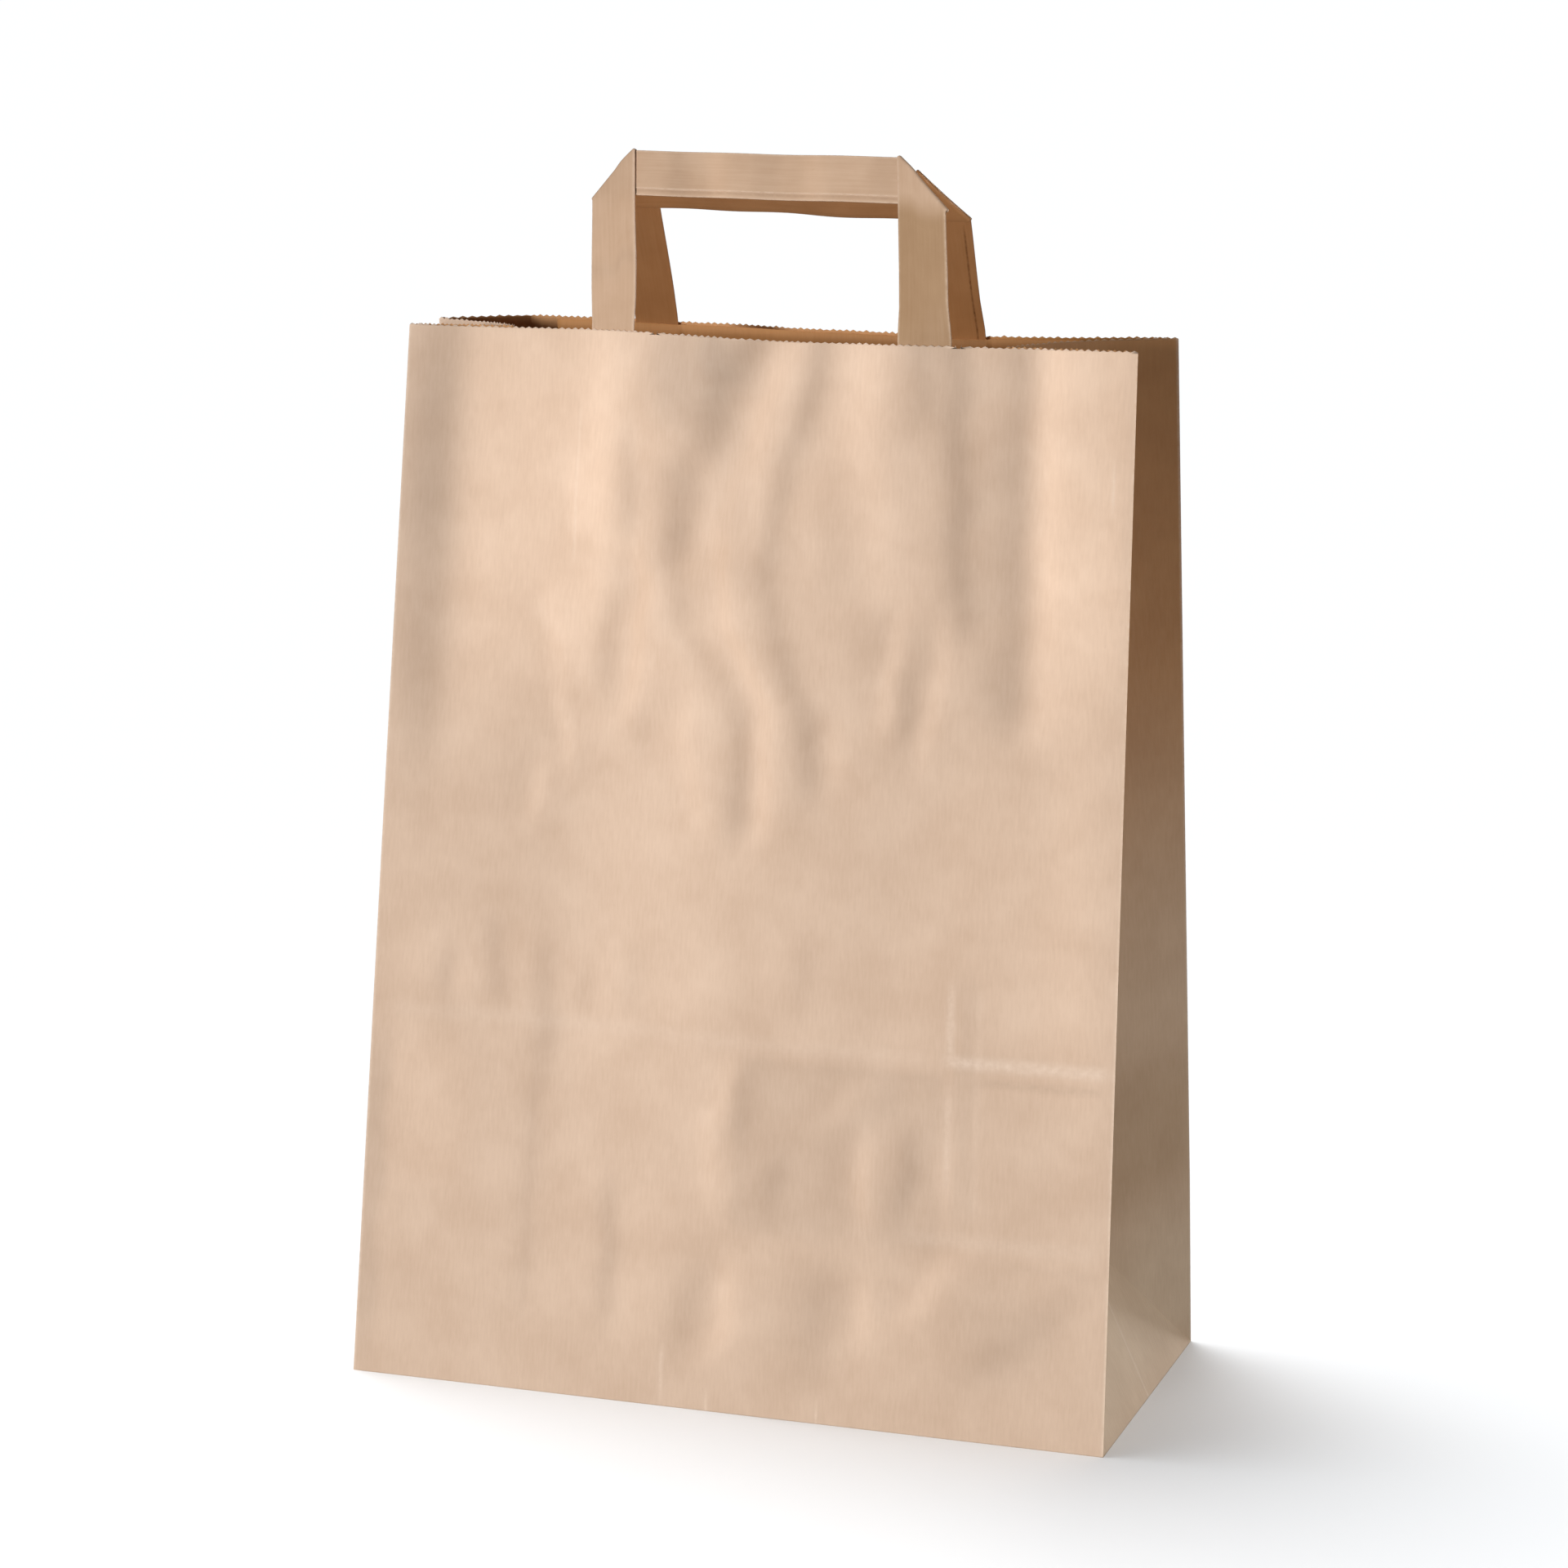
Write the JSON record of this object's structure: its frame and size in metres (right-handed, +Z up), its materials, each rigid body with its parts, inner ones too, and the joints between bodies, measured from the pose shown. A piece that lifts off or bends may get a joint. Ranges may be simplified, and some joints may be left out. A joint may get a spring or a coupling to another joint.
{
  "type": "paper carrier bag",
  "caption": "Brown kraft paper carrier bag with folded side gussets, a block bottom, a sawtooth-cut mouth and flat folded tape handles glued inside it.",
  "frame": {"origin": "centre of the bag's rectangular floor, on the surface that it stands on", "axes": "+Z up from the floor to the handles, +X along the wide panels, -Y out of the front panel"},
  "size_m": [0.26, 0.1201, 0.4059],
  "materials": {
    "kraft": "unbleached brown kraft paper, matt",
    "handle_tape": "folded brown kraft tape, matt",
    "patch_paper": "brown kraft paper, matt"
  },
  "bodies": {
    "root": {"bag_body": "kraft", "front_handle": "handle_tape", "back_handle": "handle_tape", "front_patch": "patch_paper", "back_patch": "patch_paper"}
  },
  "joints": []
}
